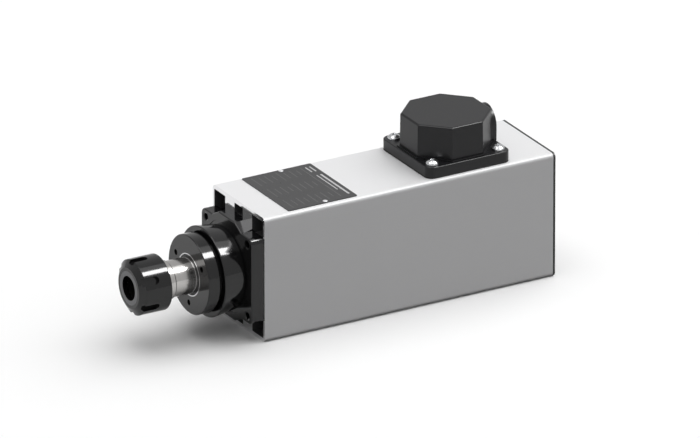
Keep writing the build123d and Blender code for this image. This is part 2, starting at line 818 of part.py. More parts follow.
def domed_screw(head_radius, head_height, shank_radius, shank_length):
    """Pan-head screw standing on z = 0 with its shank below."""
    edge = head_height * screw_edge_share
    sag = head_height - edge
    sphere_radius = (head_radius**2 + sag**2) / (2 * sag)
    head = Pos(0, 0, head_height - sphere_radius) * Sphere(sphere_radius)
    head &= Pos(0, 0, head_height / 2) * Cylinder(head_radius, head_height)
    return head + Pos(0, 0, -shank_length / 2) * Cylinder(shank_radius, shank_length)


def rear_cover_screws():
    """Four screws that hold the rear cover on the stand-offs."""
    screw = domed_screw(
        cover_screw_head_radius,
        cover_screw_head_height,
        cover_screw_radius,
        cover_screw_length + rear_cover_thickness,
    )
    return group([Pos(rear_cover_rear, y, z) * Rot(0, -90, 0) * screw for y, z in tie_places])


def box_screw_places():
    """The four screw places of the terminal box."""
    half = box_screw_spacing / 2
    return [(box_centre_x + sx * half, sy * half) for sx in (1, -1) for sy in (1, -1)]


def octagon(across_flats):
    """Regular octagon with flats across the spindle axis."""
    return Rot(0, 0, 22.5) * RegularPolygon(across_flats / 2, 8, major_radius=False)


def terminal_box_gasket():
    """Flat rubber frame between the case and the terminal box."""
    frame = RectangleRounded(box_plate_size, box_plate_size, box_plate_corner_radius)
    inner_size = box_plate_size - 2 * box_gasket_width
    frame -= RectangleRounded(inner_size, inner_size, box_plate_corner_radius)
    frame = Pos(box_centre_x, 0) * frame
    for x, y in box_screw_places():
        frame -= Pos(x, y) * Circle(box_screw_radius + fit_clearance)
    return upward(frame, roof, box_floor)


def terminal_box_cover():
    """Moulded terminal box: skirt plate, octagonal dome and an arched boss with the cable entry."""
    centre = Pos(box_centre_x, 0)
    plate = RectangleRounded(box_plate_size, box_plate_size, box_plate_corner_radius)
    body = upward(centre * plate, box_floor, box_plate_top)
    body = fillet(body.faces().sort_by(Axis.Z)[-1].edges(), box_plate_rounding)
    lip = octagon(box_dome_size + 2 * box_lip_width)
    body += upward(centre * lip, box_plate_top, box_plate_top + box_lip_height)
    dome = extrude(centre * octagon(box_dome_size), box_dome_height, taper=box_dome_draft)
    corners = [e for e in dome.edges() if abs(e.bounding_box().size.Z) > box_dome_height / 2]
    dome = fillet(corners, box_dome_corner_rounding)
    dome = fillet(dome.faces().sort_by(Axis.Z)[-1].edges(), box_dome_rounding)
    body += Pos(0, 0, box_plate_top) * dome
    arch_profile = Pos(0, entry_height) * Circle(entry_boss_radius)
    arch_profile += Pos(0, (box_plate_top + entry_height) / 2) * Rectangle(
        2 * entry_boss_radius, entry_height - box_plate_top
    )
    body += along_x(arch_profile, box_rear_face, box_centre_x)
    inner_plate = box_plate_size - 2 * box_wall
    pocket = RectangleRounded(inner_plate, inner_plate, box_plate_corner_radius - box_wall)
    hollow = upward(centre * pocket, box_floor, box_plate_top - box_wall)
    for x, y in box_screw_places():
        hollow -= upward(Pos(x, y) * Circle(box_boss_radius), box_floor, box_plate_top)
    inner_dome = extrude(centre * octagon(box_dome_size - 2 * box_wall), box_dome_height, taper=box_dome_draft)
    hollow += Pos(0, 0, box_plate_top - box_wall) * inner_dome
    body -= hollow
    body -= rod_x(box_rear_face, box_centre_x, entry_hole_radius, 0, entry_height)
    for x, y in box_screw_places():
        body -= upward(Pos(x, y) * Circle(box_screw_radius + screw_clearance), box_floor, box_plate_top)
    return body


def terminal_box_screws():
    """Four pan-head screws that hold the terminal box on the case."""
    shank = box_plate_top - channel_top + box_screw_tip
    screw = domed_screw(box_screw_head_radius, box_screw_head_height, box_screw_radius, shank)
    return group([Pos(x, y, box_plate_top) * screw for x, y in box_screw_places()])


def stud_places():
    """Places of the terminal studs in two rows."""
    places = []
    for row in (-0.5, 0.5):
        for k in (-1, 0, 1):
            places.append((block_centre_x + row * stud_row_spacing, k * stud_pitch))
    return places


def terminal_block():
    """Moulded block beside the lead hole, with barriers between its terminals."""
    block_length = 3 * stud_pitch + terminal_barrier_thickness
    base = Pos(block_centre_x, 0) * Rectangle(terminal_block_width, block_length)
    body = upward(base, roof, block_top)
    for k in (-1.5, -0.5, 0.5, 1.5):
        rib = Pos(block_centre_x, k * stud_pitch) * Rectangle(terminal_block_width, terminal_barrier_thickness)
        body += upward(rib, block_top, block_top + terminal_barrier_height)
    for x, y in stud_places():
        body -= upward(Pos(x, y) * Circle(stud_radius + fit_clearance), block_top - stud_depth, block_top)
    return body


def terminal_studs():
    """Brass studs with their nuts."""
    hexagon = RegularPolygon(stud_nut_across_flats / 2, 6, major_radius=False)
    parts = []
    for x, y in stud_places():
        stud = upward(Pos(x, y) * Circle(stud_radius), block_top - stud_depth, block_top + stud_height)
        stud += upward(Pos(x, y) * hexagon, block_top, block_top + stud_nut_height)
        parts.append(stud)
    return group(parts)


def motor_leads():
    """Lead wires that rise from the winding through the case into the terminal box."""
    parts = []
    start = winding_outer_radius + press_gap
    rise_to = block_top + stud_nut_height + lead_wire_radius + lead_end_gap
    end_x = block_centre_x + stud_row_spacing / 2 + stud_radius + lead_wire_radius + lead_end_gap
    for k in range(lead_count):
        place = k - (lead_count - 1) / 2
        y = place * lead_spacing
        turn = (lead_centre_x, y, rise_to)
        end = (end_x, place * stud_pitch, rise_to)
        path = FilletPolyline((lead_centre_x, y, start), turn, end, radius=lead_bend_radius)
        section = Plane(origin=(lead_centre_x, y, start), z_dir=(0, 0, 1)) * Circle(lead_wire_radius)
        parts.append(sweep(section, path=path))
    return group(parts)


def rivet_places():
    """Places of the two nameplate rivets across the case."""
    half = plate_width / 2 - rivet_edge_distance
    return [-half, half]


def nameplate():
    """Bare nameplate on the roof of the case."""
    outline = RectangleRounded(plate_length, plate_width, plate_corner_radius)
    outline = Pos(plate_centre_x, 0) * outline
    for y in rivet_places():
        outline -= Pos(rivet_x, y) * Circle(rivet_shank_radius + fit_clearance)
    return upward(outline, roof, roof + plate_thickness)


def nameplate_rivets():
    """Two domed rivets that hold the nameplate."""
    rivet = domed_screw(rivet_radius, rivet_head_height, rivet_shank_radius, plate_thickness + roof_wall)
    return group([Pos(rivet_x, y, roof + plate_thickness) * rivet for y in rivet_places()])


parts = {}
parts["case_extrusion"] = case_extrusion()
parts["front_shield"] = front_shield()
parts["bearing_cap"] = bearing_cap()
parts["labyrinth_ring"] = labyrinth_ring()
parts["spindle_shaft"] = spindle_shaft()
parts["collet_nut"] = collet_nut()
parts["nut_clamp_ring"] = nut_clamp_ring()

front_outer, front_inner, front_balls, front_cages = [], [], [], []
for index, x_rear in enumerate((front_pair_middle, front_pair_rear)):
    outer_ring, inner_ring, balls, cage = bearing(
        x_rear,
        front_bearing_bore_radius,
        front_bearing_outer_radius,
        front_bearing_width,
        front_ball_radius,
        front_ball_count,
        index * 180.0 / front_ball_count,
    )
    front_outer.append(outer_ring)
    front_inner.append(inner_ring)
    front_balls.extend(balls)
    front_cages.append(cage)
parts["front_bearing_outer_rings"] = group(front_outer)
parts["front_bearing_inner_rings"] = group(front_inner)
parts["front_bearing_balls"] = group(front_balls)
parts["front_bearing_cages"] = group(front_cages)
spacer_low, spacer_high = rear_of_pair_front, front_pair_middle
spacer_wall = (front_bearing_outer_radius - front_bearing_bore_radius) * ring_land_share - spacer_inset
parts["outer_spacer"] = ring(
    spacer_low,
    spacer_high,
    front_bearing_outer_radius - spacer_wall,
    front_bearing_outer_radius - press_gap / 2,
)
parts["inner_spacer"] = ring(
    spacer_low,
    spacer_high,
    front_bearing_bore_radius + press_gap / 2,
    front_bearing_bore_radius + spacer_wall,
)
rear_outer, rear_inner, rear_balls, rear_cage = bearing(
    rear_bearing_rear,
    rear_bearing_bore_radius,
    rear_bearing_outer_radius,
    rear_bearing_width,
    rear_ball_radius,
    rear_ball_count,
    0.0,
)
parts["rear_bearing_outer_ring"] = rear_outer
parts["rear_bearing_inner_ring"] = rear_inner
parts["rear_bearing_balls"] = group(rear_balls)
parts["rear_bearing_cage"] = rear_cage
parts["rear_bearing_clip"] = snap_ring(rear_bearing_rear, rear_bearing_bore_radius)
parts["preload_washer"] = preload_washer()
parts["rotor_core"] = ring(stator_rear, stator_front, rotor_seat_radius + press_gap, rotor_radius)
parts["rotor_end_rings"] = rotor_cage()
parts["stator_core"] = stator_core()
parts["stator_winding"] = stator_winding()
parts["rear_shield"] = rear_shield()
parts["tie_rods"] = tie_rods()
parts["rear_standoffs"] = rear_standoffs()
parts["cooling_fan"] = cooling_fan()
parts["fan_key"] = fan_key_shape(0.0)
parts["fan_clip"] = snap_ring(fan_rear, fan_seat_radius)
parts["rear_cover"] = rear_cover()
parts["rear_cover_screws"] = rear_cover_screws()
parts["terminal_box_gasket"] = terminal_box_gasket()
parts["terminal_box_cover"] = terminal_box_cover()
parts["terminal_box_screws"] = terminal_box_screws()
parts["terminal_block"] = terminal_block()
parts["terminal_studs"] = terminal_studs()
parts["motor_leads"] = motor_leads()
parts["nameplate"] = nameplate()
parts["nameplate_rivets"] = nameplate_rivets()

os.makedirs("parts", exist_ok=True)
for name, shape in parts.items():
    export_step(shape, f"parts/{name}.step")
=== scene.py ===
"""Looks of an air-cooled CNC spindle motor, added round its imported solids.

The scene gives each solid its finish, makes the threads, the screw heads and the plate's printing, and sets
up the floor, the lamps and the camera of the photo.
"""

import logging
import math
from dataclasses import dataclass, field
from enum import Enum

import bmesh
import bpy
import numpy as np
from mathutils import Matrix, Vector


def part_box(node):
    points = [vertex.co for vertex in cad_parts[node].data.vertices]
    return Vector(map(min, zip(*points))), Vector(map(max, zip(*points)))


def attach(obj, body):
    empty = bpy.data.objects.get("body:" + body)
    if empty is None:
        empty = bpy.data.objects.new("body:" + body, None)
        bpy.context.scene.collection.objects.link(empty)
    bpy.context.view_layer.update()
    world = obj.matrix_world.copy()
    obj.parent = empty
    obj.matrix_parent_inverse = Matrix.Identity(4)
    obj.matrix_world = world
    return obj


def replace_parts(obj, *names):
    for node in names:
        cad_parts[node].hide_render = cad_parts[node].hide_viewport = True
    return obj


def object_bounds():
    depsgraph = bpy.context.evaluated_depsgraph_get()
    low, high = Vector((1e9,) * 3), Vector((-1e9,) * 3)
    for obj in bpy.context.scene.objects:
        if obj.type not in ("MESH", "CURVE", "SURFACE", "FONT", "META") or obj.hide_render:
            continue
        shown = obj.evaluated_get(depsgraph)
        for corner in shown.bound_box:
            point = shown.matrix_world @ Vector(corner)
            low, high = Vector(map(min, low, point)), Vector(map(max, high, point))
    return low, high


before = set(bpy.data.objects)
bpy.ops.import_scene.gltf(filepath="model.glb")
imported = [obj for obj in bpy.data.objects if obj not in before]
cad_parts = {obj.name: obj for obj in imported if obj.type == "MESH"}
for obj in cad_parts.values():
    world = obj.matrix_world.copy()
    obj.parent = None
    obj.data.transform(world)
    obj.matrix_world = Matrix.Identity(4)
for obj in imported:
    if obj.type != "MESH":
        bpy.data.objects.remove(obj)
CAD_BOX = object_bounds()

LOG = logging.getLogger("spindle_motor")
MM = 0.001
IMAGE_WIDTH_PX = 700

# Meshes: points closer than this are one, and edges sharper than this many degrees stay sharp
MERGE_DISTANCE = 0.0005 * MM
SHARP_ANGLE = 35.0

# Patterns: how much longer than wide die lines are, and how fine soft pits and other patterns are
DIE_LINE_STRETCH = 250.0
SOFT_DETAIL = 1.0
FINE_DETAIL = 3.0

# Where a finish, painted shade or a painted highlight begins on a solid
FACE_TOLERANCE = 0.05 * MM
CASE_SKIN = 1.0 * MM
CAP_EDGE_INSET = 1.75 * MM
NUT_MOUTH_RADIUS = 10.5 * MM
TAPER_RADIUS = 10.4 * MM
GROOVE_START_INSET = 6.1 * MM
GROOVE_END_INSET = 5.3 * MM

Socket = bpy.types.NodeSocket
Tree = bpy.types.NodeTree
Piece = bpy.types.Object


def linear(colour: str) -> tuple[float, float, float, float]:
    """Turns an sRGB hex colour into Blender's linear colour.

    Args:
        colour: Six hex digits, such as "c8c8ca".

    Returns:
        Red, green, blue and alpha, linear, from 0 to 1.
    """
    channels = np.array([int(colour[i : i + 2], 16) for i in (0, 2, 4)]) / 255
    bright = ((channels + 0.055) / 1.055) ** 2.4
    values = np.where(channels <= 0.04045, channels / 12.92, bright)
    return (*map(float, values), 1.0)


def add_node(tree: Tree, kind: str, inputs: dict | None = None, **settings: object) -> bpy.types.Node:
    """Adds one node with its settings and its inputs.

    A Mix node has its factor at 0, its numbers at 2 and 3, its colours at 6 and 7, and its outputs at 0 and 2.

    Args:
        tree: Node tree that gets the node.
        kind: Blender's type name of the node.
        inputs: Socket name or number to a value, or to the output that it is joined to.
        settings: The node's own properties.

    Returns:
        The new node.
    """
    node = tree.nodes.new(kind)
    for name, value in settings.items():
        setattr(node, name, value)
    for key, value in (inputs or {}).items():
        if isinstance(value, Socket):
            tree.links.new(value, node.inputs[key])
        else:
            node.inputs[key].default_value = value
    return node


def place_parts(tree: Tree) -> dict[str, Socket]:
    """Takes Object coordinates apart and adds R, the distance from the spindle axis.

    Args:
        tree: Node tree that gets the nodes.

    Returns:
        The sockets X, Y, Z and R.
    """
    place = add_node(tree, "ShaderNodeTexCoord").outputs["Object"]
    parts = add_node(tree, "ShaderNodeSeparateXYZ", {"Vector": place}).outputs
    flat = add_node(tree, "ShaderNodeCombineXYZ", {"Y": parts["Y"], "Z": parts["Z"]}).outputs[0]
    radius = add_node(tree, "ShaderNodeVectorMath", {0: flat}, operation="LENGTH").outputs["Value"]
    return {"X": parts["X"], "Y": parts["Y"], "Z": parts["Z"], "R": radius}


class Grain(Enum):
    """How a surface was made, which gives its pattern its direction."""

    EXTRUDED = "lines along the spindle axis"
    TURNED = "rings round the spindle axis"
    CAST = "soft pits in all directions"
    MOULDED = "fine spark-eroded grain"
    WOUND = "wires round the spindle axis"

    def pattern(self, tree: Tree, size_mm: float) -> Socket:
        """Builds the pattern as a value from 0 to 1 over Object coordinates.

        Args:
            tree: Node tree of the material.
            size_mm: Spacing of the lines or pits, in millimetres.

        Returns:
            The pattern's value socket.
        """
        across = 1 / (size_mm * MM)
        along = across / DIE_LINE_STRETCH if self is Grain.EXTRUDED else across
        if self in (Grain.TURNED, Grain.WOUND):
            parts = place_parts(tree)
            place = add_node(tree, "ShaderNodeCombineXYZ", {"X": parts["X"], "Y": parts["R"]}).outputs[0]
        else:
            place = add_node(tree, "ShaderNodeTexCoord").outputs["Object"]
        sizes = {0: place, 1: (along, across, across)}
        scaled = add_node(tree, "ShaderNodeVectorMath", sizes, operation="MULTIPLY").outputs[0]
        detail = SOFT_DETAIL if self is Grain.CAST else FINE_DETAIL
        noise = {"Vector": scaled, "Scale": 1.0, "Detail": detail}
        return add_node(tree, "ShaderNodeTexNoise", noise).outputs[0]


@dataclass(frozen=True)
class Finish:
    """One finish, from the real material and how its surface was made.

    Attributes:
        name: Name of the material.
        colour: sRGB hex colour.
        grain: Pattern of the surface.
        grain_mm: Spacing of the pattern.
        metallic: 1 for bare metal, 0 for paint, oxide and plastic.
        roughness: Middle roughness.
        rough_spread: How far the roughness goes to either side.
        tone_spread: How far the colour goes to either side, as a share.
        bump_mm: Height of the pattern.
        coat: Weight of a clear or oiled film.
        ior: Refraction index of paint, oxide or plastic.
    """

    name: str
    colour: str
    grain: Grain
    grain_mm: float
    metallic: float = 0.0
    roughness: float = 0.4
    rough_spread: float = 0.05
    tone_spread: float = 0.04
    bump_mm: float = 0.004
    coat: float = 0.0
    ior: float = 1.5

    def tones(self) -> tuple[tuple[float, ...], tuple[float, ...]]:
        """Works out how far the colour goes to either side.

        Returns:
            Dark and light end of the colour, in linear values.
        """
        base = np.array(linear(self.colour)[:3])
        dark, light = base * (1 - self.tone_spread), np.minimum(base * (1 + self.tone_spread), 1)
        return (*map(float, dark), 1.0), (*map(float, light), 1.0)

    def shade(self, tree: Tree) -> bpy.types.Node:
        """Builds the shader of the finish.

        Args:
            tree: Node tree of the material.

        Returns:
            The shader node.
        """
        value = self.grain.pattern(tree, self.grain_mm)
        dark, light = self.tones()
        colour = add_node(tree, "ShaderNodeMix", {0: value, 6: dark, 7: light}, data_type="RGBA")
        low, high = self.roughness - self.rough_spread, self.roughness + self.rough_spread
        rough = add_node(tree, "ShaderNodeMapRange", {"Value": value, "To Min": low, "To Max": high})
        relief = {"Height": value, "Strength": 1.0, "Distance": self.bump_mm * MM}
        bump = add_node(tree, "ShaderNodeBump", relief)
        inputs = {
            "Base Color": colour.outputs[2],
            "Roughness": rough.outputs[0],
            "Normal": bump.outputs[0],
            "Metallic": self.metallic,
            "Coat Weight": self.coat,
            "IOR": self.ior,
        }
        return add_node(tree, "ShaderNodeBsdfPrincipled", inputs)

    def material(self) -> bpy.types.Material:
        """Makes the material under a name that no CAD material has, unless it is there already.

        Returns:
            The material.
        """
        name = f"{self.name}_finish"
        made = bpy.data.materials.get(name)
        if made is None:
            made = bpy.data.materials.new(name)
            made.use_nodes = True
            made.node_tree.nodes.clear()
            shader = self.shade(made.node_tree)
            add_node(made.node_tree, "ShaderNodeOutputMaterial", {"Surface": shader.outputs[0]})
        return made


@dataclass(frozen=True)
class FacedAndPaintedLightFinish(Finish):
    """Finish of a piece with another colour on its flat front face, out to a radius, and in a groove along the
    axis: bare machined or worn metal on the case and nut, a painted highlight on the bearing cap, painted
    shade on the shaft.

    Attributes:
        face_x: Place of the machined face along the axis, in metres.
        face_radius: Radius about the spindle axis out to which the face is bare, in metres.
        face_colour: sRGB hex colour on the face and in the groove.
        face_metallic: Metallic value on the face and in the groove.
        face_roughness: Roughness on the face and in the groove.
        groove: Start and end along the axis of a groove that looks like the face, in metres.
    """

    face_x: float = 0.0
    face_radius: float = 1.0
    face_colour: str = "d8d9da"
    face_metallic: float = 1.0
    face_roughness: float = 0.1
    groove: tuple[float, float] = (1.0, 1.0)

    def mask(self, tree: Tree) -> Socket:
        """Builds the value that is 1 on the face and in the groove, and 0 elsewhere.

        Args:
            tree: Node tree of the material.

        Returns:
            The value's socket.
        """
        parts = place_parts(tree)
        inside = {0: parts["R"], 1: self.face_radius}
        within = add_node(tree, "ShaderNodeMath", inside, operation="LESS_THAN").outputs[0]
        front = {0: parts["X"], 1: self.face_x - FACE_TOLERANCE}
        ahead = add_node(tree, "ShaderNodeMath", front, operation="GREATER_THAN").outputs[0]
        face = add_node(tree, "ShaderNodeMath", {0: within, 1: ahead}, operation="MULTIPLY").outputs[0]
        half = (self.groove[1] - self.groove[0]) / 2
        near = {0: parts["X"], 1: self.groove[0] + half, 2: half}
        groove = add_node(tree, "ShaderNodeMath", near, operation="COMPARE").outputs[0]
        return add_node(tree, "ShaderNodeMath", {0: face, 1: groove}, operation="MAXIMUM").outputs[0]

    def cover(self, tree: Tree, shader: bpy.types.Node, mask: Socket, colour: str, roughness: float) -> None:
        """Changes colour and roughness where a mask is 1.

        Args:
            tree: Node tree of the material.
            shader: Its shader.
            mask: Value that is 1 where the change shows.
            colour: sRGB hex colour there.
            roughness: Roughness there.
        """
        before = {name: shader.inputs[name].links[0].from_socket for name in ("Base Color", "Roughness")}
        colours = {0: mask, 6: before["Base Color"], 7: linear(colour)}
        mixed = add_node(tree, "ShaderNodeMix", colours, data_type="RGBA").outputs[2]
        rough = add_node(tree, "ShaderNodeMix", {0: mask, 2: before["Roughness"], 3: roughness}).outputs[0]
        tree.links.new(mixed, shader.inputs["Base Color"])
        tree.links.new(rough, shader.inputs["Roughness"])

    def shade(self, tree: Tree) -> bpy.types.Node:
        """Builds the finish with its other colour on the face and in the groove.

        Args:
            tree: Node tree of the material.

        Returns:
            The shader node.
        """
        shader = super().shade(tree)
        mask = self.mask(tree)
        self.cover(tree, shader, mask, self.face_colour, self.face_roughness)
        metal = add_node(tree, "ShaderNodeMix", {0: mask, 2: self.metallic, 3: self.face_metallic}).outputs[0]
        tree.links.new(metal, shader.inputs["Metallic"])
        return shader


@dataclass(frozen=True)
class ChannelShadeFinish(FacedAndPaintedLightFinish):
    """Finish of an extrusion whose channels are as pressed, darker and duller than the worked outside.

    Attributes:
        half_width: Half the width within which a surface belongs to a channel, in metres.
        half_height: Half the height within which it does.
        channel_shade_colour: sRGB hex colour of the shade painted on the channels' walls.
        channel_shade_roughness: Roughness of the channels.
    """

    half_width: float = 0.0
    half_height: float = 0.0
    # Painted shade: the grey that darkens the channels' walls
    channel_shade_colour: str = "4a4a4b"
    channel_shade_roughness: float = 0.6

    def channel_shade_mask(self, tree: Tree) -> Socket:
        """Builds the value that is 1 on the channels' walls, where the shade is painted, and 0 elsewhere.

        Args:
            tree: Node tree of the material.

        Returns:
            The value's socket.
        """
        parts = place_parts(tree)
        behind = {0: parts["X"], 1: self.face_x - FACE_TOLERANCE}
        mask = add_node(tree, "ShaderNodeMath", behind, operation="LESS_THAN").outputs[0]
        for axis, reach in (("Y", self.half_width), ("Z", self.half_height)):
            away = add_node(tree, "ShaderNodeMath", {0: parts[axis]}, operation="ABSOLUTE").outputs[0]
            within = add_node(tree, "ShaderNodeMath", {0: away, 1: reach}, operation="LESS_THAN").outputs[0]
            mask = add_node(tree, "ShaderNodeMath", {0: mask, 1: within}, operation="MULTIPLY").outputs[0]
        return mask

    def shade(self, tree: Tree) -> bpy.types.Node:
        """Builds the finish with its machined face and the painted shade in its channels.

        Args:
            tree: Node tree of the material.

        Returns:
            The shader node.
        """
        shader = super().shade(tree)
        self.cover(tree, shader, self.channel_shade_mask(tree), self.channel_shade_colour, self.channel_shade_roughness)
        return shader


def dress(node_name: str, finish: Finish) -> None:
    """Gives a CAD node its finish.

    Args:
        node_name: Name of the node.
        finish: Finish for all its faces.
    """
    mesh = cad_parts[node_name].data
    mesh.materials.clear()
    mesh.materials.append(finish.material())
    LOG.info("dressed %s in %s", node_name, finish.name)


# Grinding marks are about 0.05 mm apart and spark-eroded grain about 0.1 mm. Both are drawn at 0.4 to 0.6 mm,
# as the die lines of the case are at 0.8 mm, because finer ones would not show in the render.

# Clear anodised aluminium extrusion: satin with faint die lines, its sawn front end milled bright, and shade
# painted dark on the walls of its channels
ANODISED = ChannelShadeFinish(
    "anodised_aluminium",
    "ececed",
    Grain.EXTRUDED,
    0.8,
    metallic=0.03,
    roughness=0.42,
    tone_spread=0.01,
    bump_mm=0.002,
    face_x=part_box("case_extrusion")[1].x,
    face_colour="f6f6f7",
    face_roughness=0.08,
    half_width=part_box("case_extrusion")[1].y - CASE_SKIN,
    half_height=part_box("case_extrusion")[1].z - CASE_SKIN,
)
# Black enamel on a casting that was turned afterwards: nearly black, with sharp highlights
BLACK_ENAMEL = Finish(
    "black_enamel", "141415", Grain.CAST, 1.5, roughness=0.11, rough_spread=0.02, bump_mm=0.002
)
# Black oxide on turned and polished steel: black with a hard, clear highlight
BLACK_OXIDE = Finish(
    "black_oxide_steel", "131314", Grain.TURNED, 0.6, roughness=0.12, rough_spread=0.02, bump_mm=0.001
)
# The same oxide on the bearing cap, with a painted highlight: a bright bare-metal band round the edge of its
# bore
CAP_OXIDE = FacedAndPaintedLightFinish(
    "black_oxide_cap",
    "131314",
    Grain.TURNED,
    0.6,
    roughness=0.12,
    rough_spread=0.02,
    bump_mm=0.001,
    face_x=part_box("bearing_cap")[1].x,
    face_radius=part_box("labyrinth_ring")[1].y - CAP_EDGE_INSET,
    # Painted highlight: the bright band round the bore's edge
    face_colour="d0d0d1",
    face_roughness=0.25,
)
# The same oxide on the nut, worn off the ring round its opening where collets are pushed in
NUT_OXIDE = FacedAndPaintedLightFinish(
    "black_oxide_nut",
    "131314",
    Grain.TURNED,
    0.6,
    roughness=0.12,
    rough_spread=0.02,
    bump_mm=0.001,
    face_x=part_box("collet_nut")[1].x,
    face_radius=NUT_MOUTH_RADIUS,
    face_colour="747476",
    face_metallic=0.4,
    face_roughness=0.3,
)
# Ground tool steel: mirror-like across the grinding rings
GROUND_STEEL = Finish(
    "ground_steel", "cbc9c7", Grain.TURNED, 0.5, metallic=1.0, roughness=0.2, tone_spread=0.05, bump_mm=0.002
)
# The same steel on the shaft, with shade painted dark on its collet taper inside the nut and in its collar
# groove
SHAFT_STEEL = FacedAndPaintedLightFinish(
    "ground_steel_shaft",
    "bfbdbb",
    Grain.TURNED,
    0.5,
    metallic=1.0,
    roughness=0.18,
    tone_spread=0.05,
    bump_mm=0.002,
    face_x=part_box("collet_nut")[0].x,
    face_radius=TAPER_RADIUS,
    # Painted shade: dark colour on the taper inside the nut and in the collar groove
    face_colour="1b1a18",
    face_metallic=0.3,
    face_roughness=0.35,
    groove=(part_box("collet_nut")[0].x - GROOVE_START_INSET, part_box("collet_nut")[0].x - GROOVE_END_INSET),
)
# Hardened steel of the labyrinth ring, coloured dark as painted shade between the shaft and the ring's rim
RING_STEEL = Finish(
    "dark_ring_steel", "202021", Grain.TURNED, 0.5, metallic=0.3, roughness=0.3, bump_mm=0.001
)
# Bearing steel: ground rings, a little cooler
BEARING_STEEL = Finish(
    "bearing_steel", "b4b5b8", Grain.TURNED, 0.5, metallic=1.0, roughness=0.18, bump_mm=0.001
)
# Polished balls
BALL_STEEL = Finish("ball_steel", "c8c9cc", Grain.CAST, 3.0, metallic=1.0, roughness=0.06, rough_spread=0.02)
# Cotton-filled phenolic: brown with a woven speckle
PHENOLIC = Finish("cage_phenolic", "7d5330", Grain.MOULDED, 0.5, roughness=0.55, tone_spread=0.2)
# Blued spring steel
SPRING_STEEL = Finish("spring_steel", "50545c", Grain.TURNED, 0.6, metallic=1.0, roughness=0.3)
# Varnished laminations: dark steel with fine lines where the sheets lie
LAMINATION = Finish(
    "lamination_steel", "55565a", Grain.TURNED, 0.5, metallic=0.9, roughness=0.42, bump_mm=0.02
)
# Enamelled copper wire, wound round the bore
COPPER = Finish(
    "enamelled_copper", "a2502c", Grain.WOUND, 1.0, metallic=0.9, roughness=0.32, bump_mm=0.15, coat=0.5
)
# Cast aluminium, tumbled
CAST_ALUMINIUM = Finish(
    "cast_aluminium", "aeafb1", Grain.CAST, 0.8, metallic=1.0, roughness=0.5, bump_mm=0.01
)
# Bright zinc plate on small steel parts
ZINC = Finish("bright_zinc", "cfd0d2", Grain.CAST, 1.2, metallic=1.0, roughness=0.2, bump_mm=0.002)
# Rolled rivet heads of the nameplate: bare aluminium, dulled by the setting tool
RIVET = Finish("rivet_aluminium", "e6e6e8", Grain.CAST, 0.8, metallic=1.0, roughness=0.45, bump_mm=0.003)
# Glass-filled nylon, moulded
NYLON = Finish("black_nylon", "232325", Grain.MOULDED, 0.5, roughness=0.5, bump_mm=0.01)
# Black powder coat on sheet: fine orange peel
POWDER_COAT = Finish("black_powder_coat", "1b1b1c", Grain.CAST, 0.7, roughness=0.42, bump_mm=0.01)
# Black oxide on small screws
SCREW_BLACK = Finish("black_screw", "202022", Grain.CAST, 1.0, roughness=0.3)
# Rubber sheet
RUBBER = Finish("gasket_rubber", "151515", Grain.MOULDED, 0.6, roughness=0.7, bump_mm=0.01)
# Moulded thermoplastic whose spark-eroded grain takes away part of its gloss: dark grey, soft highlights
BOX_PLASTIC = Finish("box_plastic", "18181a", Grain.MOULDED, 0.45, roughness=0.3, bump_mm=0.002, ior=1.4)
# Thermoset of the terminal block
BLOCK_PLASTIC = Finish("block_plastic", "38383c", Grain.MOULDED, 0.5, roughness=0.45)
# Turned brass
BRASS = Finish("turned_brass", "c8a458", Grain.CAST, 0.8, metallic=1.0, roughness=0.28)
# Silicone sleeve of the motor leads
SILICONE = Finish("silicone_sleeve", "b3201a", Grain.MOULDED, 0.5, roughness=0.5)
# Dark anodised sheet of the nameplate
PLATE_SHEET = Finish("plate_sheet", "333334", Grain.CAST, 0.8, roughness=0.3, bump_mm=0.002)
# Grey ink of the blank fields printed on the nameplate
PLATE_INK = Finish("plate_ink", "6c6c6d", Grain.MOULDED, 0.4, roughness=0.5)
# Pale ink of the plate's blank heading
HEADING_INK = Finish("heading_ink", "c4c4c5", Grain.MOULDED, 0.4, roughness=0.5)


@dataclass(frozen=True)
class Grid:
    """A surface as rows and columns of points, with a face between each four neighbours.

    Attributes:
        points: Array of rows by columns by 3, in metres.
        joined: Whether the last column joins the first.
    """

    points: np.ndarray
    joined: bool = True

    def faces(self, start: int) -> np.ndarray:
        """Corner numbers of all faces.

        Args:
            start: Number of the surface's first point in its mesh.

        Returns:
            Array of faces by 4.
        """
        rows, columns = self.points.shape[:2]
        numbers = start + np.arange(rows * columns).reshape(rows, columns)
        if self.joined:
            numbers = np.column_stack((numbers, numbers[:, 0]))
        corners = (numbers[:-1, :-1], numbers[:-1, 1:], numbers[1:, 1:], numbers[1:, :-1])
        return np.stack(corners, axis=-1).reshape(-1, 4)


def make_piece(name: str, grids: list[Grid], finish: Finish, body: str) -> Piece:
    """Makes one piece from surfaces, closes their poles and turns their faces outwards.

    Args:
        name: Name of the piece.
        grids: Its surfaces.
        finish: Finish of the whole piece.
        body: CAD body that it moves with.

    Returns:
        The new piece.
    """
    sizes = [grid.points.shape[0] * grid.points.shape[1] for grid in grids]
    starts = np.cumsum([0, *sizes[:-1]])
    points = np.concatenate([grid.points.reshape(-1, 3) for grid in grids])
    faces = np.concatenate([grid.faces(int(start)) for grid, start in zip(grids, starts)])
    mesh = bpy.data.meshes.new(name)
    mesh.from_pydata(points.tolist(), [], faces.tolist())
    shell = bmesh.new()
    shell.from_mesh(mesh)
    bmesh.ops.remove_doubles(shell, verts=shell.verts, dist=MERGE_DISTANCE)
    bmesh.ops.dissolve_degenerate(shell, edges=shell.edges, dist=MERGE_DISTANCE)
    bmesh.ops.recalc_face_normals(shell, faces=shell.faces)
    shell.to_mesh(mesh)
    shell.free()
    mesh.polygons.foreach_set("use_smooth", np.ones(len(mesh.polygons), dtype=bool))
    mesh.set_sharp_from_angle(angle=math.radians(SHARP_ANGLE))
    mesh.materials.append(finish.material())
    piece = bpy.data.objects.new(name, mesh)
    bpy.context.scene.collection.objects.link(piece)
    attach(piece, body)
    return piece


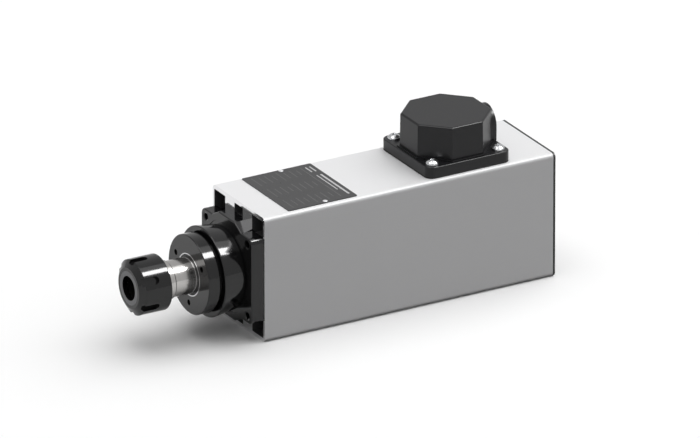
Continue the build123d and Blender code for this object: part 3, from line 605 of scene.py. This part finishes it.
@dataclass(frozen=True)
class Thread:
    """Ridge of a screw thread, its profile carried along a helix about a line along X.

    Attributes:
        start: Where the ridge begins along X, in metres.
        end: Where it ends.
        root: Radius of its foot, a little inside the solid that carries it.
        crest: Radius of its top, smaller than the root in a hole.
        pitch: Advance in one turn.
        axis_z: Height of the helix's axis.
        steps: Sections in one turn.
        foot_share: Half the width of the ridge's foot, as a share of the pitch.
        top_share: Half the width of its top.
        run_out: Turns over which it grows out of a point at each end.
    """

    start: float
    end: float
    root: float
    crest: float
    pitch: float
    axis_z: float = 0.0
    steps: int = 48
    foot_share: float = 0.44
    top_share: float = 0.07
    run_out: float = 1 / 3

    def grid(self) -> Grid:
        """Surface with x = start + pitch times turns, and a radius that rises from root to crest.

        The profile has a wide foot and a narrow flat top. At both ends it grows out of a point, as a cut
        thread runs out.

        Returns:
            The surface, one row for each section.
        """
        turns = (self.end - self.start) / self.pitch
        turn = np.linspace(0, turns, int(turns * self.steps) + 1)[:, None]
        fade = np.clip(np.minimum(turn, turns - turn) / self.run_out, 0, 1)
        corners = np.array([-self.foot_share, -self.top_share, self.top_share, self.foot_share])
        along = corners[None, :] * self.pitch * fade
        radius = self.root + np.array([0.0, 1.0, 1.0, 0.0])[None, :] * (self.crest - self.root) * fade
        angle = 2 * math.pi * turn
        x = self.start + self.pitch * turn + along
        return Grid(np.stack((x, radius * np.cos(angle), self.axis_z + radius * np.sin(angle)), axis=-1))


@dataclass(frozen=True)
class CrossHead:
    """Pan-head screw with a cross recess, standing on z = 0 with its shank below, in millimetres.

    Attributes:
        radius: Radius of the head.
        height: Height of the head.
        shank_radius: Radius of the shank.
        shank_length: Length of the shank.
        edge_share: Height of the head's edge, as a share of its height.
        arm_half_width: Half the width of the cross's bars, as a share of the head's radius.
        arm_reach: Half their length, as such a share.
        arm_side: Width of their steep sides, as such a share.
        recess_share: Depth of the cross, as a share of the head's height.
        row_crowding: Below 1, the rows lie closer near the rim.
        rows: Rows of the dome.
        columns: Columns round the screw.
    """

    radius: float
    height: float
    shank_radius: float
    shank_length: float
    edge_share: float = 0.42
    arm_half_width: float = 0.11
    arm_reach: float = 0.5
    arm_side: float = 0.03
    recess_share: float = 0.35
    row_crowding: float = 0.9
    rows: int = 30
    columns: int = 96

    def recess(self, y: np.ndarray, z: np.ndarray) -> np.ndarray:
        """Depth of the cross at each place: two crossing bars with sloping ends and steep sides.

        Args:
            y: Places across the head, as shares of its radius.
            z: Places the other way across.

        Returns:
            Depth in millimetres.
        """
        bars = []
        slope = self.arm_reach / 2
        for along, across in ((np.abs(y), np.abs(z)), (np.abs(z), np.abs(y))):
            side = np.clip((self.arm_half_width - across) / self.arm_side, 0, 1)
            bars.append(side * np.clip((self.arm_reach - along) / slope, 0, 1))
        return np.maximum(*bars) * self.recess_share * self.height

    def points(self) -> np.ndarray:
        """Rows from the middle of the dome over its rim and down the shank, columns round the axis.

        The dome's height falls with the square of the radius. Its rim is rounded through three points of a
        quarter circle, and the shank ends in a chamfer.

        Returns:
            Array of rows by columns by 3, in metres.
        """
        angle = np.linspace(0, 2 * math.pi, self.columns, endpoint=False)[None, :]
        share = np.linspace(0, 1, self.rows)[:, None] ** self.row_crowding
        edge = self.height * self.edge_share
        rounding = edge * 0.5
        crown = edge + (self.height - edge) * (1 - share**2) + 0 * angle
        crown = crown - self.recess(share * np.cos(angle), share * np.sin(angle))
        flat = self.radius - rounding * 0.5
        dome = np.stack((flat * share * np.cos(angle), flat * share * np.sin(angle), crown), axis=-1)
        low = [
            (self.radius - rounding * 0.15, edge - rounding * 0.12),
            (self.radius, edge - rounding * 0.6),
            (self.radius, 0.0),
            (self.shank_radius, 0.0),
            (self.shank_radius, -self.shank_length + self.shank_radius * 0.5),
            (self.shank_radius * 0.5, -self.shank_length),
            (0.0, -self.shank_length),
        ]
        radius, level = np.array(low)[:, 0, None], np.array(low)[:, 1, None]
        below = np.stack((radius * np.cos(angle), radius * np.sin(angle), level + 0 * angle), axis=-1)
        return np.concatenate((dome, below)) * MM

    def standing(self, x: float, y: float, z: float, turn: float) -> Grid:
        """The screw upright at a place, turned about its own axis.

        Args:
            x: Place of the head's seat, in metres.
            y: The same across.
            z: The same upwards.
            turn: Turn of the cross in degrees.

        Returns:
            The screw's surface.
        """
        a = math.radians(turn)
        spin = np.array([[math.cos(a), math.sin(a), 0], [-math.sin(a), math.cos(a), 0], [0, 0, 1]])
        return Grid(self.points() @ spin + np.array([x, y, z]))

    def facing_back(self, x: float, y: float, z: float, turn: float) -> Grid:
        """The screw with its head towards -X at a place, turned about its own axis.

        Args:
            x: Place of the head's seat, in metres.
            y: The same across.
            z: The same upwards.
            turn: Turn of the cross in degrees.

        Returns:
            The screw's surface.
        """
        upright = self.standing(0, 0, 0, turn).points
        return Grid(np.stack((x - upright[..., 2], y + upright[..., 1], z + upright[..., 0]), axis=-1))


def corners_within(low: Vector, high: Vector, reach: float) -> list[tuple[float, float]]:
    """Places of four round heads, from the corners of the box that they fill.

    Args:
        low: Lowest corner of the box.
        high: Highest corner.
        reach: Radius of a head.

    Returns:
        The four middles.
    """
    sides = [(low[k] + reach, high[k] - reach) for k in (0, 1)]
    return [(first, second) for first in sides[0] for second in sides[1]]


def flat_bar(x: float, y: float, z: float, width: float, length: float, height: float) -> Grid:
    """Thin printed bar: a low closed prism with its middle at a place.

    Args:
        x: Middle of the bar, in metres.
        y: The same across.
        z: Level that it lies on.
        width: Its size along X.
        length: Its size along Y.
        height: Its thickness.

    Returns:
        The bar's surface, whose first and last rows are single points.
    """
    corners = np.array([(-0.5, -0.5), (0.5, -0.5), (0.5, 0.5), (-0.5, 0.5)]) * (width, length)
    share = np.array([0.0, 1.0, 1.0, 0.0])[:, None, None]
    level = np.array([0.0, 0.0, height, height])[:, None, None] + np.zeros((4, 4, 1))
    return Grid(np.concatenate((corners[None] * share, level), axis=-1) + np.array([x, y, z]))


@dataclass
class SubAssembly:
    """Pieces that go together, with the finish of each CAD node.

    Attributes:
        finishes: Node name to finish.
    """

    finishes: dict[str, Finish] = field(default_factory=dict)

    def build(self) -> list[Piece]:
        """Makes the pieces that the construction leaves to the looks."""
        return []

    def dress(self) -> None:
        """Gives each node its finish."""
        for node_name, finish in self.finishes.items():
            dress(node_name, finish)


@dataclass
class Case(SubAssembly):
    """The extruded case with its rear cover and its nameplate.

    Attributes:
        finishes: Node name to finish.
        cover_screw: Screw of the rear cover.
        cover_screw_turns: Turns of the four screws' crosses, in degrees.
        ink_height: Height of the printed bars, half of it above the plate.
        line_width: Width of the printed lines.
        line_lengths: Lengths of the blank fields, one below the other.
        line_rounds: How often these lengths come down each column.
        line_pitch: Distance from one field to the next.
        line_inset: Distance of the first field from the plate's front edge.
        field_columns: Middles of the columns, from the plate's middle.
        rule_inset: Distance of the line across the plate from its rear edge.
        rule_margin: How much shorter that line is than the plate is wide.
        heading_bars: Each bar's distance from the rear edge, its distance from the middle, width and length.
    """

    finishes: dict[str, Finish] = field(
        default_factory=lambda: {
            "case_extrusion": ANODISED,
            "rear_cover": POWDER_COAT,
            "rear_cover_screws": SCREW_BLACK,
            "nameplate": PLATE_SHEET,
            "nameplate_rivets": RIVET,
            "tie_rods": ZINC,
            "rear_standoffs": ZINC,
            "rear_shield": CAST_ALUMINIUM,
        }
    )
    cover_screw: CrossHead = CrossHead(3.0, 1.8, 1.5, 6.5)
    cover_screw_turns: tuple[float, ...] = (10, 55, 33, 72)
    ink_height: float = 0.02 * MM
    line_width: float = 0.35 * MM
    line_lengths: tuple[float, ...] = (13.0 * MM, 9.0 * MM, 11.0 * MM, 7.0 * MM)
    line_rounds: int = 2
    line_pitch: float = 4.2 * MM
    line_inset: float = 5.0 * MM
    field_columns: tuple[float, ...] = (-19.0 * MM, 0.0, 19.0 * MM)
    rule_inset: float = 9.0 * MM
    rule_margin: float = 8.0 * MM
    heading_bars: tuple[tuple[float, float, float, float], ...] = (
        (3.0 * MM, 6.5 * MM, 1.3 * MM, 34.0 * MM),
        (5.8 * MM, 2.0 * MM, 0.7 * MM, 25.0 * MM),
        (3.0 * MM, -20.0 * MM, 0.9 * MM, 8.0 * MM),
        (5.8 * MM, -20.0 * MM, 0.9 * MM, 8.0 * MM),
    )

    def build(self) -> list[Piece]:
        """Makes the rear cover's screws and the nameplate's printing.

        Returns:
            The new pieces.
        """
        return [self.build_cover_screws(), self.build_plate_lines(), self.build_plate_heading()]

    def build_cover_screws(self) -> Piece:
        """Makes the four screws of the rear cover, each with its cross turned another way.

        Returns:
            The new piece, in place of the solids of the screws.
        """
        low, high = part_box("rear_cover_screws")
        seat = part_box("rear_cover")[0].x
        places = corners_within(low.yz, high.yz, self.cover_screw.radius * MM)
        grids = []
        for turn, (y, z) in zip(self.cover_screw_turns, places):
            grids.append(self.cover_screw.facing_back(seat, y, z, turn))
        piece = make_piece("cover_screw_heads", grids, SCREW_BLACK, "housing")
        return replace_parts(piece, "rear_cover_screws")

    def build_plate_lines(self) -> Piece:
        """Makes one printed line across the plate and columns of blank fields.

        Returns:
            The new piece.
        """
        low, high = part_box("nameplate")
        middle, level = (low.y + high.y) / 2, high.z - self.ink_height / 2
        rule = high.y - low.y - self.rule_margin
        grids = [flat_bar(low.x + self.rule_inset, middle, level, self.line_width, rule, self.ink_height)]
        for y in self.field_columns:
            for row, length in enumerate(self.line_lengths * self.line_rounds):
                x = high.x - self.line_inset - row * self.line_pitch
                grids.append(flat_bar(x, middle + y, level, self.line_width, length, self.ink_height))
        return make_piece("nameplate_lines", grids, PLATE_INK, "housing")

    def build_plate_heading(self) -> Piece:
        """Makes the plate's blank heading, which is a few plain bars.

        Returns:
            The new piece.
        """
        low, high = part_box("nameplate")
        middle, level = (low.y + high.y) / 2, high.z - self.ink_height / 2
        grids = []
        for inset, offset, width, length in self.heading_bars:
            grids.append(flat_bar(low.x + inset, middle + offset, level, width, length, self.ink_height))
        return make_piece("nameplate_heading", grids, HEADING_INK, "housing")


@dataclass
class Nose(SubAssembly):
    """The front shield with its bearing cap and the front bearings.

    Attributes:
        finishes: Node name to finish.
    """

    finishes: dict[str, Finish] = field(
        default_factory=lambda: {
            "front_shield": BLACK_ENAMEL,
            "bearing_cap": CAP_OXIDE,
            "labyrinth_ring": RING_STEEL,
            "front_bearing_outer_rings": BEARING_STEEL,
            "front_bearing_inner_rings": BEARING_STEEL,
            "front_bearing_balls": BALL_STEEL,
            "front_bearing_cages": PHENOLIC,
            "outer_spacer": BEARING_STEEL,
            "inner_spacer": BEARING_STEEL,
        }
    )


@dataclass
class Spindle(SubAssembly):
    """The shaft with its nut, rear bearing, rotor and fan, and the stator round it.

    Attributes:
        finishes: Node name to finish.
        thread_pitch: Pitch of the thread under the nut.
        thread_root: Radius of the ridge's foot, just inside the shaft.
        thread_crest: Radius of its top, which lies within the nut's wall as a thread does.
        thread_relief: Length at the rear of the nut without thread.
        thread_run_out: Length at the shaft's front end without thread.
    """

    finishes: dict[str, Finish] = field(
        default_factory=lambda: {
            "spindle_shaft": SHAFT_STEEL,
            "collet_nut": NUT_OXIDE,
            "nut_clamp_ring": BLACK_OXIDE,
            "rear_bearing_outer_ring": BEARING_STEEL,
            "rear_bearing_inner_ring": BEARING_STEEL,
            "rear_bearing_balls": BALL_STEEL,
            "rear_bearing_cage": PHENOLIC,
            "rear_bearing_clip": SPRING_STEEL,
            "preload_washer": SPRING_STEEL,
            "rotor_core": LAMINATION,
            "rotor_end_rings": CAST_ALUMINIUM,
            "stator_core": LAMINATION,
            "stator_winding": COPPER,
            "cooling_fan": NYLON,
            "fan_key": ZINC,
            "fan_clip": SPRING_STEEL,
        }
    )
    thread_pitch: float = 1.5 * MM
    thread_root: float = 11.9 * MM
    thread_crest: float = 12.45 * MM
    thread_relief: float = 2.0 * MM
    thread_run_out: float = 1.0 * MM

    def build(self) -> list[Piece]:
        """Makes the thread under the nut, with the hand that the nut's travel needs.

        Returns:
            The new pieces.
        """
        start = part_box("collet_nut")[0].x + self.thread_relief
        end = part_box("spindle_shaft")[1].x - self.thread_run_out
        thread = Thread(start, end, self.thread_root, self.thread_crest, self.thread_pitch)
        return [make_piece("shaft_thread", [thread.grid()], GROUND_STEEL, "spindle")]


@dataclass
class TerminalBox(SubAssembly):
    """The terminal box with its screws and what it holds.

    Attributes:
        finishes: Node name to finish.
        screw: Screw of the box.
        screw_turns: Turns of the four screws' crosses, in degrees.
        entry_height: Height of the cable entry's axis.
        entry_radius: Radius of the thread's foot in the entry, just inside its wall.
        entry_crest: Radius of the thread's top.
        entry_pitch: Pitch of the thread.
        entry_inset: Distance from the entry's mouth to the thread.
        entry_depth: Length of the thread.
    """

    finishes: dict[str, Finish] = field(
        default_factory=lambda: {
            "terminal_box_cover": BOX_PLASTIC,
            "terminal_box_gasket": RUBBER,
            "terminal_box_screws": ZINC,
            "terminal_block": BLOCK_PLASTIC,
            "terminal_studs": BRASS,
            "motor_leads": SILICONE,
        }
    )
    screw: CrossHead = CrossHead(4.0, 3.2, 2.0, 10.4)
    screw_turns: tuple[float, ...] = (20, 65, 40, 5)
    entry_height: float = 56.85 * MM
    entry_radius: float = 7.45 * MM
    entry_crest: float = 6.95 * MM
    entry_pitch: float = 1.5 * MM
    entry_inset: float = 0.3 * MM
    entry_depth: float = 5.0 * MM

    def build(self) -> list[Piece]:
        """Makes the box's screws and the thread in its cable entry.

        Returns:
            The new pieces.
        """
        return [self.build_screws(), self.build_entry_thread()]

    def build_screws(self) -> Piece:
        """Makes the four screws on the skirt of the box, each with its cross turned another way.

        Returns:
            The new piece, in place of the solids of the screws.
        """
        low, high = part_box("terminal_box_screws")
        seat = high.z - self.screw.height * MM
        places = corners_within(low.xy, high.xy, self.screw.radius * MM)
        grids = []
        for turn, (x, y) in zip(self.screw_turns, places):
            grids.append(self.screw.standing(x, y, seat, turn))
        piece = make_piece("box_screw_heads", grids, ZINC, "housing")
        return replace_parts(piece, "terminal_box_screws")

    def build_entry_thread(self) -> Piece:
        """Makes the thread that a cable gland screws into.

        Returns:
            The new piece.
        """
        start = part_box("terminal_box_cover")[0].x + self.entry_inset
        end = start + self.entry_depth
        thread = Thread(start, end, self.entry_radius, self.entry_crest, self.entry_pitch, self.entry_height)
        return make_piece("entry_thread", [thread.grid()], BOX_PLASTIC, "housing")


@dataclass(frozen=True)
class Softbox:
    """Rectangular lamp that shines on the whole object, either on matt surfaces or in reflections only.

    Attributes:
        name: Name of the lamp.
        direction: From the object to the lamp's middle.
        angles: How wide the lamp looks from the object, along and across, in degrees.
        radiance: Brightness of its face.
        reflected: True for a lamp that only reflections show, False for one that only lights matt surfaces.
        distance: From the object to the lamp, in metres.
    """

    name: str
    direction: tuple[float, float, float]
    angles: tuple[float, float]
    radiance: float
    reflected: bool
    distance: float = 6.0

    def build(self) -> None:
        """Makes the lamp, its long side as near to the spindle axis as its place allows."""
        halves = [self.distance * math.tan(math.radians(angle) / 2) for angle in self.angles]
        data = bpy.data.lights.new(self.name, "AREA")
        data.shape = "RECTANGLE"
        data.size, data.size_y = 2 * halves[0], 2 * halves[1]
        data.energy = self.radiance * math.pi * data.size * data.size_y
        lamp = bpy.data.objects.new(self.name, data)
        towards = Vector(self.direction).normalized()
        centre = (CAD_BOX[0] + CAD_BOX[1]) / 2
        along = (Vector((1, 0, 0)) - towards * towards.x).normalized()
        turn = Matrix((along, towards.cross(along), towards)).transposed()
        lamp.matrix_world = Matrix.Translation(centre + towards * self.distance) @ turn.to_4x4()
        lamp.visible_camera = False
        lamp.visible_glossy = self.reflected
        lamp.visible_diffuse = not self.reflected
        bpy.context.scene.collection.objects.link(lamp)


@dataclass
class Studio:
    """Floor, lamps, surroundings and camera.

    Attributes:
        azimuth: Camera's turn round the object in degrees, 0 looking along +Y.
        elevation: Camera's height above the horizon in degrees.
        distance: From the camera to the point that it looks at, in metres.
        px_per_mm: Scale of the picture at that point.
        reference: Point on the spindle axis in the case's front plane.
        look_right: From the reference to the point looked at, to the right in the picture.
        look_up: The same, upwards in the picture.
        clip_range: Nearest and farthest distance that the camera sees.
        floor_half: Half the floor's side.
        floor_colour: What the camera sees of the floor.
        floor_reflected: What reflections show of it.
        floor_bounce: What the floor gives back to matt surfaces.
        lamps: The broad key light, and what glossy surfaces show: a strip, its glow and one for edges.
        sky_strength: Light of the surroundings on matt surfaces.
        sky_reflected: Brightness of the surroundings in reflections.
    """

    azimuth: float = 149.99
    elevation: float = 23.106
    distance: float = 10.0
    px_per_mm: float = 1.672
    reference: tuple[float, float, float] = (-8.5 * MM, 0.0, 0.0)
    look_right: float = 66.52 * MM
    look_up: float = 26.50 * MM
    clip_range: tuple[float, float] = (1.0, 100.0)
    floor_half: float = 8.0
    floor_colour: str = "ffffff"
    floor_reflected: str = "ececec"
    floor_bounce: str = "363636"
    lamps: tuple[Softbox, ...] = (
        Softbox("key", (-0.36, 0.02, 0.93), (95.0, 72.0), 1.62, False),
        Softbox("strip", (-0.52, 0.33, 0.797), (34.0, 14.5), 24.0, True),
        Softbox("strip_glow", (-0.50, 0.10, 0.86), (40.0, 24.0), 1.0, True),
        Softbox("edge_glow", (0.44, 0.11, 0.88), (36.0, 36.0), 3.0, True),
    )
    sky_strength: float = 0.3
    sky_reflected: float = 0.62

    def directions(self) -> tuple[Vector, Vector, Vector]:
        """Works out how the camera is turned.

        Returns:
            Its right, up and backwards.
        """
        a, e = math.radians(self.azimuth), math.radians(self.elevation)
        right = Vector((math.cos(a), math.sin(a), 0.0))
        back = Vector((math.sin(a) * math.cos(e), -math.cos(a) * math.cos(e), math.sin(e)))
        return right, back.cross(right), back

    def build_camera(self) -> None:
        """Makes the camera, with a long lens because the photo has hardly any perspective."""
        right, up, back = self.directions()
        target = Vector(self.reference) + right * self.look_right + up * self.look_up
        data = bpy.data.cameras.new("camera")
        width = IMAGE_WIDTH_PX / self.px_per_mm * MM
        data.lens = data.sensor_width * self.distance / width
        data.clip_start, data.clip_end = self.clip_range
        camera = bpy.data.objects.new("camera", data)
        turn = Matrix((right, up, back)).transposed()
        camera.matrix_world = Matrix.Translation(target + back * self.distance) @ turn.to_4x4()
        bpy.context.scene.collection.objects.link(camera)
        bpy.context.scene.camera = camera

    def seen_as(self, tree: Tree, matt: object, reflected: object, camera: object, kind: str) -> Socket:
        """Value or colour that differs for the light on matt surfaces, for reflections and for the camera.

        Args:
            tree: Node tree that gets the nodes.
            matt: What matt surfaces receive.
            reflected: What reflections and glass show.
            camera: What the camera sees.
            kind: Blender's data type of the three, FLOAT or RGBA.

        Returns:
            The mixed socket.
        """
        rays = add_node(tree, "ShaderNodeLightPath").outputs
        mirrored = {0: rays["Is Glossy Ray"], 1: rays["Is Transmission Ray"]}
        either = add_node(tree, "ShaderNodeMath", mirrored, operation="MAXIMUM").outputs[0]
        first, second, result = (2, 3, 0) if kind == "FLOAT" else (6, 7, 2)
        bounced = {0: either, first: matt, second: reflected}
        indirect = add_node(tree, "ShaderNodeMix", bounced, data_type=kind).outputs[result]
        last = {0: rays["Is Camera Ray"], first: indirect, second: camera}
        return add_node(tree, "ShaderNodeMix", last, data_type=kind).outputs[result]

    def build_floor(self) -> Piece:
        """Makes the floor under the case's foot.

        Returns:
            The floor.
        """
        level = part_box("case_extrusion")[0].z
        half = self.floor_half
        mesh = bpy.data.meshes.new("floor")
        corners = [(-half, -half, level), (half, -half, level), (half, half, level), (-half, half, level)]
        mesh.from_pydata(corners, [], [(0, 1, 2, 3)])
        floor = bpy.data.objects.new("floor", mesh)
        bpy.context.scene.collection.objects.link(floor)
        material = bpy.data.materials.new("floor_paint")
        material.use_nodes = True
        tree = material.node_tree
        tree.nodes.clear()
        shades = [linear(shade) for shade in (self.floor_bounce, self.floor_reflected, self.floor_colour)]
        paint = add_node(tree, "ShaderNodeBsdfDiffuse", {"Color": self.seen_as(tree, *shades, "RGBA")})
        add_node(tree, "ShaderNodeOutputMaterial", {"Surface": paint.outputs[0]})
        mesh.materials.append(material)
        return floor

    def build_sky(self) -> None:
        """Makes the pale surroundings, plain white to the camera and in reflections."""
        world = bpy.context.scene.world or bpy.data.worlds.new("surroundings")
        bpy.context.scene.world = world
        world.use_nodes = True
        tree = world.node_tree
        tree.nodes.clear()
        strength = self.seen_as(tree, self.sky_strength, self.sky_reflected, 1.0, "FLOAT")
        light = add_node(tree, "ShaderNodeBackground", {"Color": (1, 1, 1, 1), "Strength": strength})
        add_node(tree, "ShaderNodeOutputWorld", {"Surface": light.outputs[0]})

    def build(self) -> None:
        """Makes all of the studio."""
        bpy.context.scene.view_settings.view_transform = "Standard"
        self.build_camera()
        self.build_floor()
        for lamp in self.lamps:
            lamp.build()
        self.build_sky()


def main() -> None:
    """Builds and dresses the sub-assemblies in order, then the studio."""
    logging.basicConfig(level=logging.INFO, format="%(message)s")
    for assembly in (Case(), Nose(), Spindle(), TerminalBox()):
        for piece in assembly.build():
            LOG.info("built %s", piece.name)
        assembly.dress()
    Studio().build()


if __name__ == "__main__":
    main()
